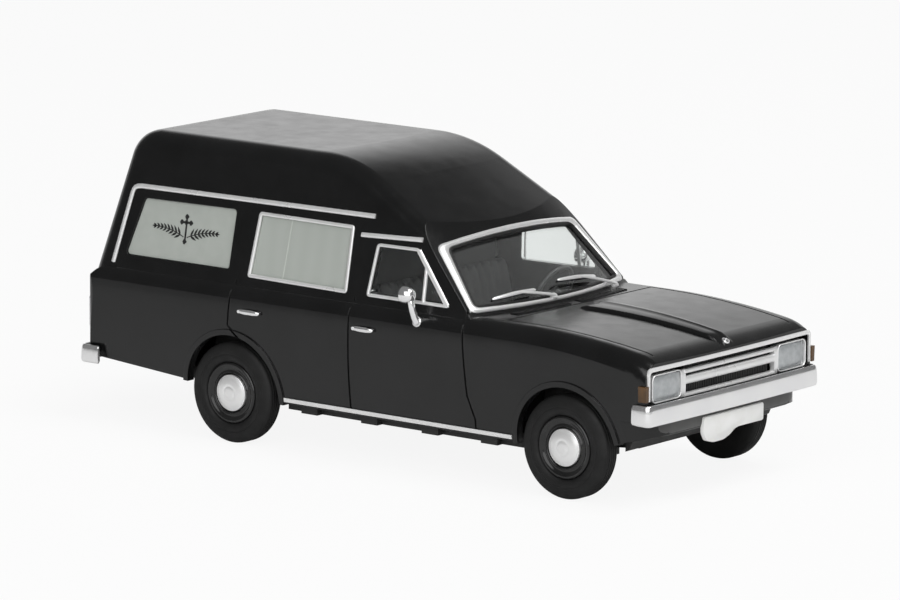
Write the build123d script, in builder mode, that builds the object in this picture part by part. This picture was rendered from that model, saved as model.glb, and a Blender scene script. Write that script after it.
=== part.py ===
from build123d import *
import os

# Driving dimensions, in millimetres at the model's own scale of 1:87
wheelbase = 30.7
front_overhang = 7.9
rear_overhang = 14.6
body_width = 20.2
shoulder_step = 0.68
cabin_taper = 1.8
sill_height = 3.5
belt_height = 12.0
roof_height = 22.0
wall = 0.6
nose_wall = 1.7
tyre_radius = 3.75
tyre_width = 1.75
wheel_inset = 0.05
rim_radius = 2.3
hubcap_radius = 1.36
axle_radius = 0.5
running_gap = 0.06
arch_gap = 0.6
roof_round = 1.4
wing_round = 1.3
trim_height = 0.12
pane_gap = 0.03
groove_width = 0.16
groove_depth = 0.15

# Main positions: X forward, Y to the left, Z up, origin on the ground under the middle
length = front_overhang + wheelbase + rear_overhang
front_axle_x = length / 2 - front_overhang
rear_axle_x = front_axle_x - wheelbase
half_width = body_width / 2
belt_half = half_width - shoulder_step
outer_y = half_width - wheel_inset
inner_y = outer_y - tyre_width
reach = 2 * length


def along(x):
    """A station along the body, from its place on a drawing 53.2 mm long."""
    return x * length / 53.2


def height(z):
    """A height above the ground, from a drawing with its belt at 12 and its roof at 22 mm."""
    if z <= 12.0:
        return z * belt_height / 12.0
    return belt_height + (z - 12.0) * (roof_height - belt_height) / 10.0


def across(y):
    """A distance from the middle plane, from its place on a drawing 20.2 mm wide."""
    return y * body_width / 20.2


def points(rows):
    """Side view corners of the drawing, as corners of the model."""
    return [(along(x), height(z)) for x, z in rows]


nose_x = along(26.05)
tail_x = along(-26.35)
sides = [("left", 1), ("right", -1)]
axles = [("front", front_axle_x), ("rear", rear_axle_x)]
os.makedirs("parts", exist_ok=True)

# Slopes of the cabin in side view, each from its foot to its head
screen_foot = Vector(along(10.95), 0, height(12.4))
screen_head = Vector(along(6.45), 0, height(16.9))
panel_foot = Vector(along(6.8), 0, height(17.0))
panel_head = Vector(along(-2.3), 0, roof_height)
tail_foot = Vector(along(-25.85), 0, belt_height)
tail_head = Vector(along(-23.4), 0, roof_height)
screen_rise = (screen_head - screen_foot).length
screen_up = (screen_head - screen_foot).normalized()
screen_face = Plane(origin=screen_foot, x_dir=(0, 1, 0), z_dir=(screen_up.Z, 0, -screen_up.X))


# The body's main volumes
def bowed_prism(foot, head, radius, grow):
    """Everything behind a front face that slopes up from foot to head and is bowed across the body."""
    bow_radius = radius + grow
    half = body_width * 0.75
    sag = bow_radius - (bow_radius ** 2 - half ** 2) ** 0.5
    with BuildPart() as prism:
        with BuildSketch(Plane(origin=foot, x_dir=(0, 1, 0), z_dir=head - foot)):
            with BuildLine():
                bow = ThreePointArc((-half, sag - grow), (0, -grow), (half, sag - grow))
                Polyline(bow @ 1, (half, reach), (-half, reach), bow @ 0)
            make_face()
        extrude(amount=reach, both=True)
    return prism.part


def cabin_volume(grow, rounded):
    """Windscreen, raised roof, side walls and tailgate above the belt, moved out by grow."""
    slope = cabin_taper / (roof_height - belt_height)
    out = grow * (1 + slope ** 2) ** 0.5
    low = height(10.6)
    foot = belt_half + (belt_height - low) * slope + out
    head = belt_half - (roof_height + grow - belt_height) * slope + out
    screen = bowed_prism(screen_foot, screen_head, 2 * body_width, grow)
    panel = bowed_prism(panel_foot, panel_head, 5 * body_width, grow)
    run = (tail_head - tail_foot).normalized()
    back = Vector(-run.Z, 0, run.X) * grow
    low_end = tail_foot + back - run * reach
    high_end = tail_head + back + run * reach
    with BuildPart() as volume:
        with BuildSketch(Plane.YZ):
            with BuildLine():
                Polyline((-foot, low), (foot, low), (head, roof_height + grow),
                         (-head, roof_height + grow), close=True)
            make_face()
        extrude(amount=reach, both=True)
        add(screen, mode=Mode.INTERSECT)
        add(panel, mode=Mode.INTERSECT)
        with BuildSketch(Plane.XZ):
            with BuildLine():
                Polyline((low_end.X, low_end.Z), (high_end.X, high_end.Z), (high_end.X + reach, high_end.Z),
                         (low_end.X + reach, low_end.Z), close=True)
            make_face()
        extrude(amount=reach, both=True, mode=Mode.INTERSECT)
        roof = volume.faces().sort_by(Axis.Z)[-1]
        rear = roof.edges().sort_by(Axis.X)[0]
        if rounded:
            fillet(rear, radius=1.8 * roof_round + grow)
            roof = volume.faces().sort_by(Axis.Z)[-1]
            fillet(roof.edges().sort_by(Axis.X)[-1], radius=8.5 * roof_round + grow)
            for side in (1, -1):
                rim = volume.edges().filter_by(
                    lambda e: e.center().Y * side > 0.3 * belt_half and e.center().Z > belt_height)
                pillar = rim.sort_by(Axis.X)[-1]
                fillet([e for e in rim if e is not pillar], radius=roof_round + grow)
        else:
            chamfer(rear, length=roof_round)
    return volume.part


def body_plan(grow):
    """The lower body's outline from above, moved out by grow."""
    half = 1.15 * half_width
    with BuildSketch() as outline:
        with BuildLine():
            nose = ThreePointArc((nose_x - along(0.25), -half), (nose_x, 0), (nose_x - along(0.25), half))
            near = Line(nose @ 1, (tail_x + along(0.5), half))
            tail = ThreePointArc(near @ 1, (tail_x, 0), (tail_x + along(0.5), -half))
            Line(tail @ 1, nose @ 0)
        make_face()
        if grow:
            offset(amount=grow, kind=Kind.INTERSECTION)
    return outline.sketch


# Lower edge of the body in side view, from the nose back
underside = [(28.05, 5.7), (26.2, 5.3), (23.2, 4.6), (14.0, 3.5), (-7.5, 3.5), (-16.5, 4.2), (-24.0, 4.8),
             (-28.4, 5.15)]


def lower_volume(grow, open_below=False, rounded=False):
    """Bonnet, wings, doors and tail below the belt, moved out by grow."""
    outline = body_plan(grow)
    under = [(along(x), height(z) + sill_height - height(3.5)) for x, z in underside]
    if open_below:
        under = [(along(28.05), -reach), (along(-28.4), -reach)]
    with BuildPart() as volume:
        with BuildSketch(Plane.YZ):
            with BuildLine():
                side = ThreePointArc((half_width - across(0.6), height(3.5)),
                                     (half_width - across(0.13), height(6.9)), (half_width, height(9.8)))
                shoulder = TangentArc(side @ 1, (belt_half + across(0.1), height(12.9)), tangent=(0, 1))
                Polyline(shoulder @ 1, (0, height(12.9)), (0, -reach), ((side @ 0).X, -reach), side @ 0)
            make_face()
            mirror(about=Plane.YZ)
            if grow:
                offset(amount=grow, kind=Kind.INTERSECTION)
        extrude(amount=reach, both=True)
        with BuildSketch(Plane.XZ):
            with BuildLine():
                belt = Line((along(-24.2), belt_height), (along(14.0), belt_height))
                bonnet = TangentArc(belt @ 1, (along(24.4), height(11.14)), tangent=(1, 0))
                nose_roll = TangentArc(bonnet @ 1, (along(26.7), height(9.9)), tangent=bonnet % 1)
                Polyline(nose_roll @ 1, *under, *points([(-28.4, 8.6), (-25.2, 11.5)]), belt @ 0)
            make_face()
            if grow:
                offset(amount=grow, kind=Kind.INTERSECTION)
        extrude(amount=reach, both=True, mode=Mode.INTERSECT)
        add(outline)
        extrude(amount=reach, both=True, mode=Mode.INTERSECT)
        if rounded:
            rims = volume.edges().filter_by(lambda e: e.center().Z > height(6.0))
            outer_rims = rims.filter_by(lambda e: abs(e.center().Y) > 0.8 * half_width)
            wing_rims = outer_rims.filter_by(
                lambda e: e.center().Z > height(11.0) and e.center().X > along(-24))
            fillet(wing_rims, radius=wing_round)
    return volume.part


def side_window(rows, corner, grow, side):
    """One side window's prism, from the middle plane out through the wall of that side."""
    with BuildPart() as prism:
        with BuildSketch(Plane.XZ) as shape:
            with BuildLine():
                Polyline(*points(rows), close=True)
            make_face()
            fillet(shape.vertices(), radius=across(corner))
            if grow:
                offset(amount=grow)
        extrude(amount=-side * reach)
    return prism.part


def screen_shape(grow, side=0.82, lean=1.23, foot_rise=0.0, head_rise=0.97):
    """The windscreen opening's prism, square to the sloping screen and moved out by grow."""
    low_y = belt_half - across(side)
    top_y = low_y - across(lean)
    corner_s = (foot_rise + 0.16) * screen_rise
    head_s = head_rise * screen_rise
    with BuildPart() as prism:
        with BuildSketch(screen_face.offset(-across(2.6))) as shape:
            with BuildLine():
                foot = ThreePointArc((-low_y, corner_s), (0, foot_rise * screen_rise), (low_y, corner_s))
                Polyline(foot @ 1, (top_y, head_s), (-top_y, head_s), foot @ 0)
            make_face()
            fillet(shape.vertices(), radius=across(0.5))
            if grow:
                offset(amount=grow)
        extrude(amount=across(6))
    return prism.part


def tailgate_window(grow):
    """The tailgate window's prism, along the body."""
    with BuildPart() as prism:
        with BuildSketch(Plane.YZ.offset(along(-21.5))) as shape:
            with BuildLine():
                Polyline((-across(6.9), height(12.9)), (across(6.9), height(12.9)),
                         (across(6.3), height(17.3)), (-across(6.3), height(17.3)), close=True)
            make_face()
            fillet(shape.vertices(), radius=across(0.6))
            if grow:
                offset(amount=grow)
        extrude(amount=-along(8))
    return prism.part


def side_strip(rows, width, side):
    """A band of one width along a side view path, from the middle plane out on one side."""
    with BuildPart() as prism:
        with BuildSketch(Plane.XZ):
            with BuildLine():
                Polyline(*points(rows))
            trace(line_width=width)
        extrude(amount=-side * reach)
    return prism.part


def end_block(x, amount, centre_y, half_span, low, high, corner):
    """A prism along the body with a rounded outline, for what is let into an end."""
    with BuildPart() as prism:
        with BuildSketch(Plane.YZ.offset(x)):
            with Locations((centre_y, (low + high) / 2)):
                RectangleRounded(2 * half_span, high - low, corner)
        extrude(amount=amount)
    return prism.part


def end_band(outer, inner, low, high):
    """A wall that follows the body's outline from above, between two distances from it."""
    rim = body_plan(outer)
    core = body_plan(inner)
    with BuildPart() as band:
        with BuildSketch(Plane.XY.offset(low)):
            add(rim)
            add(core, mode=Mode.SUBTRACT)
        extrude(amount=high - low)
    return band.part


cabin = cabin_volume(0, rounded=True)
cabin_raised = cabin_volume(trim_height, rounded=True)
cabin_groove = cabin_volume(-groove_depth, rounded=False)
cabin_inside = cabin_volume(-wall, rounded=False)
lower = lower_volume(0, rounded=True)
lower_raised = lower_volume(trim_height)
lower_groove = lower_volume(-groove_depth)
lower_inside = lower_volume(-wall, open_below=True)

# Side windows in side view: name, corners from the lower rear one, corner radius
window_table = [
    ("door", [(0.45, 12.55), (7.55, 12.55), (4.3, 16.05), (0.95, 16.05)], 0.25),
    ("middle", [(-10.75, 12.6), (-1.7, 12.5), (-1.7, 17.05), (-10.25, 17.05)], 0.22),
    ("quarter", [(-22.8, 12.8), (-12.75, 12.8), (-12.6, 17.2), (-21.5, 17.1)], 0.3),
]

# Shut lines of the doors, the bonnet and the tailgate, cut to one depth
door_lines = [
    [(-11.9, 12.2), (-12.2, 8.8), (-11.0, 7.9)],
    [(-0.75, 12.2), (-0.9, 3.9)],
    [(9.55, 12.4), (9.7, 10.0), (10.0, 6.4), (10.6, 4.7), (10.6, 3.9)],
]
with BuildPart() as shut_lines:
    for line in door_lines:
        with BuildSketch(Plane.XZ):
            with BuildLine():
                Polyline(*points(line))
            trace(line_width=groove_width)
        extrude(amount=reach, both=True)
    with BuildSketch(Plane.XY.offset(height(9.0))):
        with BuildLine():
            Polyline((along(25.2), -across(8.3)), (along(12.6), -across(8.6)), (along(12.6), across(8.6)),
                     (along(25.2), across(8.3)))
        trace(line_width=groove_width)
    extrude(amount=height(5.0))
    with BuildSketch(Plane.YZ.offset(along(-20))):
        with BuildLine():
            Polyline((-across(6.9), height(18.2)), (-across(7.7), height(11.9)), (-across(7.3), height(6.6)),
                     (across(7.3), height(6.6)), (across(7.7), height(11.9)), (across(6.9), height(18.2)),
                     close=True)
        trace(line_width=groove_width)
    extrude(amount=-along(10))
    add(lower_groove, mode=Mode.SUBTRACT)
    add(cabin_groove, mode=Mode.SUBTRACT)

# Wheel arches: round cuts with a raised lip
arch_radius = tyre_radius + arch_gap
with BuildPart() as arch_rims:
    for name, axle_x in axles:
        with BuildSketch(Plane.XZ):
            with Locations((axle_x, tyre_radius)):
                Circle(arch_radius + across(0.42))
                Circle(arch_radius, mode=Mode.SUBTRACT)
        extrude(amount=reach, both=True)
    add(lower_raised, mode=Mode.INTERSECT)
with BuildPart() as arch_cuts:
    for name, axle_x in axles:
        with BuildSketch(Plane.XZ):
            with Locations((axle_x, tyre_radius)):
                Circle(arch_radius)
        extrude(amount=reach, both=True)

# Body shell: bonnet, wings, doors, raised roof and tail in one black moulding
pocket_depth = 0.6 * nose_wall
pocket_shape = end_block(along(20.0), along(8), 0, across(9.65), height(7.7), height(10.0), height(0.25))
pocket_layer = end_band(across(1.0), -pocket_depth, height(6.0), height(11.0))
rib_height = 1.8 * trim_height
lower_rib = lower_volume(rib_height)
with BuildPart() as bonnet_rib:
    with BuildSketch(Plane.XY.offset(height(9.0))):
        with BuildLine():
            Polyline((along(14.05), -across(0.85)), (along(24.7), -across(0.62)),
                     (along(24.7), across(0.62)), (along(14.05), across(0.85)), close=True)
        make_face()
    extrude(amount=height(5.0))
    add(lower_rib, mode=Mode.INTERSECT)
    top = bonnet_rib.faces().sort_by(Axis.Z)[-1]
    ridge = top.edges().filter_by(lambda e: e.length > along(8))
    chamfer(ridge, length=0.9 * rib_height, length2=across(0.57), reference=top)
with BuildPart() as hollow:
    add(lower_inside)
    with BuildSketch(Plane.YZ.offset(nose_x - nose_wall)):
        Rectangle(4 * body_width, 4 * roof_height)
    extrude(amount=reach, mode=Mode.SUBTRACT)
    add(cabin_inside)
openings = [screen_shape(0), tailgate_window(0)]
for name, rows, corner in window_table:
    for side_name, side in sides:
        openings.append(side_window(rows, corner, 0, side))
with BuildPart() as valance_cut:
    with BuildSketch():
        with Locations((nose_x - along(10), 0)):
            Rectangle(along(30), 4 * body_width)
        with Locations((nose_x - along(15), 0)):
            RectangleRounded(along(30), body_width, across(3.6), mode=Mode.SUBTRACT)
        with Locations((nose_x - along(18), 0)):
            Rectangle(along(30), 4 * body_width, mode=Mode.SUBTRACT)
    extrude(amount=height(6.3))
tail_round = across(0.8)
corner_x = tail_x + along(0.32) + tail_round
with BuildPart() as tail_cut:
    with BuildSketch():
        for side_name, side in sides:
            with Locations((corner_x - tail_round, side * half_width)):
                Rectangle(2 * tail_round, 2 * tail_round)
            with Locations((corner_x, side * (half_width - tail_round))):
                Circle(tail_round, mode=Mode.SUBTRACT)
    extrude(amount=belt_height)
with BuildPart() as pocket:
    add(pocket_shape)
    add(pocket_layer, mode=Mode.INTERSECT)
with BuildPart() as body_shell:
    add(lower)
    add(cabin)
    add(arch_rims.part)
    add(bonnet_rib.part)
    add(hollow.part, mode=Mode.SUBTRACT)
    for cut in openings:
        add(cut, mode=Mode.SUBTRACT)
    add(pocket.part, mode=Mode.SUBTRACT)
    add(shut_lines.part, mode=Mode.SUBTRACT)
    add(valance_cut.part, mode=Mode.SUBTRACT)
    add(tail_cut.part, mode=Mode.SUBTRACT)
    add(arch_cuts.part, mode=Mode.SUBTRACT)
body_shell.part.label = "body_shell"
export_step(body_shell.part, "parts/body_shell.step")

# Window panes, let into the openings just below the outer face
with BuildPart() as pane_layer:
    add(cabin_groove)
    add(cabin_inside, mode=Mode.SUBTRACT)
pane_names = {"door": "door_glass", "middle": "curtain_glass", "quarter": "quarter_glass"}
for name, rows, corner in window_table:
    for side_name, side in sides:
        shape = side_window(rows, corner, -pane_gap, side)
        with BuildPart() as pane:
            add(shape)
            add(pane_layer.part, mode=Mode.INTERSECT)
        pane.part.label = f"{pane_names[name]}_{side_name}"
        export_step(pane.part, f"parts/{pane_names[name]}_{side_name}.step")
end_panes = [("windscreen", screen_shape(-pane_gap)), ("tailgate_glass", tailgate_window(-pane_gap))]
for pane_name, shape in end_panes:
    with BuildPart() as pane:
        add(shape)
        add(pane_layer.part, mode=Mode.INTERSECT)
    pane.part.label = pane_name
    export_step(pane.part, f"parts/{pane_name}.step")

# Bright frame round the windscreen
screen_outer = screen_shape(0, side=0.3, lean=1.0, foot_rise=-0.05, head_rise=1.04)
screen_inner = screen_shape(0)
with BuildPart() as windscreen_frame:
    add(cabin_raised)
    add(cabin, mode=Mode.SUBTRACT)
    add(screen_outer, mode=Mode.INTERSECT)
    add(screen_inner, mode=Mode.SUBTRACT)
    add(lower, mode=Mode.SUBTRACT)
windscreen_frame.part.label = "windscreen_frame"
export_step(windscreen_frame.part, "parts/windscreen_frame.step")

# Bright rails along the roof and down the rear pillar, window frames and sill strips
with BuildPart() as cabin_skin:
    add(cabin_raised)
    add(cabin, mode=Mode.SUBTRACT)
with BuildPart() as lower_skin:
    add(lower_raised)
    add(lower, mode=Mode.SUBTRACT)
rail_rows = [(-23.85, 12.15), (-23.05, 17.3), (-22.4, 17.95), (0.24, 18.1)]
door_rail_rows = [(-0.84, 16.7), (4.6, 16.86)]
vent_rows = [(5.36, 15.3), (5.22, 12.3)]
sill_start = rear_axle_x + arch_radius + across(0.5)
sill_end = front_axle_x - arch_radius - across(0.5)
sill_z = sill_height + height(0.32)
for side_name, side in sides:
    rail = side_strip(rail_rows, across(0.36), side)
    door_rail = side_strip(door_rail_rows, across(0.32), side)
    with BuildPart() as roof_rail:
        add(rail)
        add(door_rail)
        add(cabin_skin.part, mode=Mode.INTERSECT)
    roof_rail.part.label = f"roof_rail_{side_name}"
    export_step(roof_rail.part, f"parts/roof_rail_{side_name}.step")

    for name, rows, corner in window_table[:2]:
        outer = side_window(rows, corner, across(0.17), side)
        inner = side_window(rows, corner, 0, side)
        with BuildPart() as window_frame:
            add(outer)
            add(inner, mode=Mode.SUBTRACT)
            if name == "door":
                divider = side_strip(vent_rows, across(0.2), side)
                add(divider)
                add(outer, mode=Mode.INTERSECT)
            add(cabin_skin.part, mode=Mode.INTERSECT)
        window_frame.part.label = f"{name}_frame_{side_name}"
        export_step(window_frame.part, f"parts/{name}_frame_{side_name}.step")

    with BuildPart() as sill_strip:
        with BuildSketch(Plane.XZ):
            with BuildLine():
                Line((sill_start, sill_z), (sill_end, sill_z))
            trace(line_width=height(0.3))
        extrude(amount=-side * reach)
        add(lower_skin.part, mode=Mode.INTERSECT)
    sill_strip.part.label = f"sill_strip_{side_name}"
    export_step(sill_strip.part, f"parts/sill_strip_{side_name}.step")

# Door handles, two on each side
lower_proud = lower_volume(3 * trim_height)
handle_rows = [[(-11.1, 10.05), (-9.0, 10.05)], [(-0.35, 10.1), (1.65, 10.1)]]
for side_name, side in sides:
    grips = [side_strip(rows, across(0.36), side) for rows in handle_rows]
    with BuildPart() as door_handles:
        for grip in grips:
            add(grip)
        add(lower_proud, mode=Mode.INTERSECT)
        add(lower, mode=Mode.SUBTRACT)
        add(arch_rims.part, mode=Mode.SUBTRACT)
    door_handles.part.label = f"door_handles_{side_name}"
    export_step(door_handles.part, f"parts/door_handles_{side_name}.step")

# Door mirrors, a round head on a slanting stem
for side_name, side in sides:
    stem_foot = Vector(along(5.5), side * (half_width - across(0.2)), height(11.1))
    stem_head = Vector(along(4.7), side * (half_width + across(0.35)), height(13.0))
    with BuildPart() as mirror_piece:
        with BuildLine():
            stem = Line(stem_foot, stem_head)
        with BuildSketch(Plane(origin=stem @ 0, z_dir=stem % 0)):
            Circle(across(0.17))
        sweep(path=stem)
        with BuildSketch(Plane(origin=stem_head, x_dir=(0, 1, 0), z_dir=(-1, 0, 0))):
            Circle(across(0.62))
        extrude(amount=across(0.25), both=True)
        add(lower, mode=Mode.SUBTRACT)
    mirror_piece.part.label = f"mirror_{side_name}"
    export_step(mirror_piece.part, f"parts/mirror_{side_name}.step")

# Grille: bright frame on the nose, bars in its pocket and the headlamps at the ends
bumper_top = height(7.9)
frame_layer = end_band(trim_height, 0, bumper_top + height(0.05), height(11.0))
bar_layer = end_band(-across(0.05), -across(0.4), height(6.0), height(11.0))
frame_x = along(20.0)
frame_run = along(8.0)
frame_outer = end_block(frame_x, frame_run, 0, across(9.9), height(6.0), height(10.3), height(0.4))
frame_inner = end_block(frame_x, frame_run, 0, across(9.65), height(5.0), height(10.0), height(0.25))
bar_rows = [(9.35, 9.6), (8.5, 8.9), (7.7, 7.95)]
bars = []
for low, high in bar_rows:
    bars.append(end_block(frame_x, frame_run, 0, across(5.4), height(low), height(high), height(0.1)))
posts = []
for side_name, side in sides:
    post_y = side * across(5.45)
    posts.append(end_block(frame_x, frame_run, post_y, across(0.14), height(7.7), height(10.0), across(0.1)))
with BuildPart() as grille_frame:
    add(frame_outer)
    add(frame_inner, mode=Mode.SUBTRACT)
    add(frame_layer, mode=Mode.INTERSECT)
grille_frame.part.label = "grille_frame"
export_step(grille_frame.part, "parts/grille_frame.step")
with BuildPart() as grille:
    for piece in bars + posts:
        add(piece)
    add(bar_layer, mode=Mode.INTERSECT)
grille.part.label = "grille"
export_step(grille.part, "parts/grille.step")
lamp_layer = end_band(-across(0.05), -pocket_depth, height(6.0), height(11.0))
for side_name, side in sides:
    block = end_block(frame_x, frame_run, side * across(7.55), across(1.82), height(7.72), height(9.84),
                      height(0.4))
    with BuildPart() as headlamp:
        add(block)
        add(lamp_layer, mode=Mode.INTERSECT)
    headlamp.part.label = f"headlamp_{side_name}"
    export_step(headlamp.part, f"parts/headlamp_{side_name}.step")

# Corner indicators, wrapped round the front corners of the wings
with BuildPart() as nose_clear:
    with BuildSketch():
        Rectangle(2 * reach, 2 * across(9.93))
    extrude(amount=roof_height)
for side_name, side in sides:
    block = side_strip([(25.4, 8.5), (27.0, 8.5)], height(1.12), side)
    with BuildPart() as indicator:
        add(block)
        add(lower_rib, mode=Mode.INTERSECT)
        add(lower, mode=Mode.SUBTRACT)
        add(nose_clear.part, mode=Mode.SUBTRACT)
    indicator.part.label = f"indicator_{side_name}"
    export_step(indicator.part, f"parts/indicator_{side_name}.step")

# Bumpers, each a bar wrapped round its end of the body: name, end, inner station, low and high edge
bumper_table = [("front_bumper", 1, 24.9, 6.2, 7.9), ("rear_bumper", -1, -24.6, 4.4, 5.75)]
bumper_clear = lower_volume(across(0.05))
for bumper_name, facing, inner_x, low, high in bumper_table:
    end_x = facing * length / 2
    bar_length = abs(end_x - along(inner_x))
    bar_width = body_width + across(0.6)
    with BuildPart() as bumper:
        with BuildSketch(Plane.XY.offset(height(low))):
            with Locations(((along(inner_x) + end_x) / 2, 0)):
                RectangleRounded(bar_length, bar_width, across(0.75))
        extrude(amount=height(high) - height(low))
        faces = bumper.faces().sort_by(Axis.Z)
        chamfer(faces[0].edges() + faces[-1].edges(), length=height(0.2))
        with BuildSketch(Plane.XY):
            with Locations(((along(inner_x) + end_x) / 2 - facing * along(0.85), 0)):
                Rectangle(bar_length, bar_width - across(1.4))
        extrude(amount=belt_height, mode=Mode.SUBTRACT)
        add(bumper_clear, mode=Mode.SUBTRACT)
    bumper.part.label = bumper_name
    export_step(bumper.part, f"parts/{bumper_name}.step")

# Number plates, blank
with BuildPart() as front_plate:
    with BuildSketch(Plane.YZ.offset(nose_x)):
        with Locations((across(0.1), height(5.25))):
            RectangleRounded(across(7.3), height(1.4), height(0.15))
        with Locations((across(-1.6), height(4.6))):
            RectangleRounded(across(3.8), height(1.4), height(0.6))
    extrude(amount=across(0.2))
front_plate.part.label = "front_plate"
export_step(front_plate.part, "parts/front_plate.step")
with BuildPart() as rear_plate:
    with BuildSketch(Plane.YZ.offset(tail_x)):
        with Locations((0, height(8.0))):
            RectangleRounded(across(6.0), height(1.35), height(0.15))
    extrude(amount=-across(0.2))
rear_plate.part.label = "rear_plate"
export_step(rear_plate.part, "parts/rear_plate.step")

# Tail lamps, upright beside the tailgate
lamp_band = end_band(1.6 * trim_height, 0, height(6.8), height(9.4))
for side_name, side in sides:
    block = end_block(along(-20.0), -along(8), side * across(8.55), across(0.8), height(6.9), height(9.3),
                      height(0.2))
    with BuildPart() as tail_lamp:
        add(block)
        add(lamp_band, mode=Mode.INTERSECT)
    tail_lamp.part.label = f"tail_lamp_{side_name}"
    export_step(tail_lamp.part, f"parts/tail_lamp_{side_name}.step")

# Wipers, two arms lying at the foot of the screen: pivot and tip, across and up the screen
cabin_proud = cabin_volume(2.5 * trim_height, rounded=False)
wiper_rows = [[(-1.2, 0.02), (-6.9, 0.18)], [(6.6, 0.03), (0.3, 0.19)]]
with BuildPart() as wipers:
    with BuildSketch(screen_face.offset(-across(2.0))):
        for row in wiper_rows:
            with BuildLine():
                Polyline(*[(across(y), s * screen_rise) for y, s in row])
            trace(line_width=across(0.22))
    extrude(amount=across(4))
    add(cabin_proud, mode=Mode.INTERSECT)
    add(cabin_raised, mode=Mode.SUBTRACT)
    add(lower_raised, mode=Mode.SUBTRACT)
wipers.part.label = "wipers"
export_step(wipers.part, "parts/wipers.step")

# Chassis: floor pan with axle bearings, wheel housings, silencer and spare wheel well
pan_rows = [(23.7, 4.7), (23.4, 4.0), (22.8, 3.7), (14.0, 2.9), (-8.0, 2.9), (-16.0, 4.0), (-24.4, 4.7),
            (-24.4, 5.5), (-16.0, 5.0), (-8.0, 4.0), (14.0, 4.0), (22.8, 4.9), (23.7, 5.1)]
bore = axle_radius + running_gap
lug_stations = [-5.2, 0.4, 6.0, 11.4]
housing_y = inner_y - across(1.8)
housing_wall = across(0.5)
with BuildPart() as chassis:
    with BuildSketch(Plane.XZ):
        with BuildLine():
            Polyline(*points(pan_rows), close=True)
        make_face()
    extrude(amount=half_width - across(1.6), both=True)
    with BuildSketch(Plane.XY.offset(height(2.9))):
        for lug_x in lug_stations:
            with Locations((along(lug_x), 0)):
                Rectangle(along(1.5), 2 * (half_width - across(1.0)))
    extrude(amount=height(0.55))
    with BuildSketch(Plane.YZ.offset(along(-23.6))):
        with Locations((-across(4.2), height(4.3))):
            Circle(height(0.62))
    extrude(amount=along(5.5))
    with BuildSketch(Plane.XY.offset(height(3.95))):
        with Locations((along(-20.6), across(2.6))):
            Circle(across(2.9))
    extrude(amount=height(1.0))
    for name, axle_x in axles:
        with BuildSketch(Plane.XY):
            for side_name, side in sides:
                with Locations((axle_x, side * (housing_y + across(3)))):
                    Rectangle(2 * arch_radius, across(6))
            with Locations((axle_x, 0)):
                Rectangle(4 * axle_radius, 2 * housing_y - across(3.0))
        extrude(amount=roof_height, mode=Mode.SUBTRACT)
        for side_name, side in sides:
            with BuildSketch(Plane.XZ.offset(-side * (housing_y - housing_wall))):
                with Locations((axle_x, height(6.0))):
                    Rectangle(2 * arch_radius, height(4.0))
            extrude(amount=-side * housing_wall)
            with BuildSketch(Plane.XZ.offset(-side * (housing_y - across(1.5)))):
                with Locations((axle_x, tyre_radius)):
                    Rectangle(5 * axle_radius, 4.2 * axle_radius)
            extrude(amount=-side * across(1.5))
        with BuildSketch(Plane.XZ):
            with Locations((axle_x, tyre_radius)):
                Circle(bore)
        extrude(amount=half_width, both=True, mode=Mode.SUBTRACT)
chassis.part.label = "chassis"
export_step(chassis.part, "parts/chassis.step")

# Interior: floor, dashboard, front bench and the partition before the load floor
inside_rows = [(11.9, 4.0), (11.9, 11.2), (9.7, 11.3), (8.2, 11.1), (8.0, 10.0), (9.6, 9.8), (11.2, 9.8),
               (11.2, 4.7), (4.6, 4.7), (4.2, 7.3), (1.5, 7.0), (-0.1, 12.6), (-1.0, 12.6), (-1.0, 16.4),
               (-1.6, 16.4), (-1.6, 8.9), (-21.5, 8.9), (-21.5, 8.2), (-2.3, 8.2), (-2.3, 4.0)]
with BuildPart() as interior:
    with BuildSketch(Plane.XZ):
        with BuildLine():
            Polyline(*points(inside_rows), close=True)
        make_face()
    extrude(amount=across(7.5), both=True)
interior.part.label = "interior"
export_step(interior.part, "parts/interior.step")

# Steering wheel on its column, on the left
with BuildPart() as steering_wheel:
    with BuildLine():
        column = Line((along(8.5), across(4.2), height(10.9)), (along(6.9), across(4.2), height(11.5)))
    with BuildSketch(Plane(origin=column @ 0, z_dir=column % 0)):
        Circle(across(0.25))
    sweep(path=column)
    with BuildSketch(Plane(origin=column @ 1, x_dir=(0, 1, 0), z_dir=column % 1)):
        Circle(across(2.1))
        Circle(across(1.78), mode=Mode.SUBTRACT)
        Rectangle(across(3.8), across(0.3))
    extrude(amount=across(0.16), both=True)
    add(interior.part, mode=Mode.SUBTRACT)
steering_wheel.part.label = "steering_wheel"
export_step(steering_wheel.part, "parts/steering_wheel.step")

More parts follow.
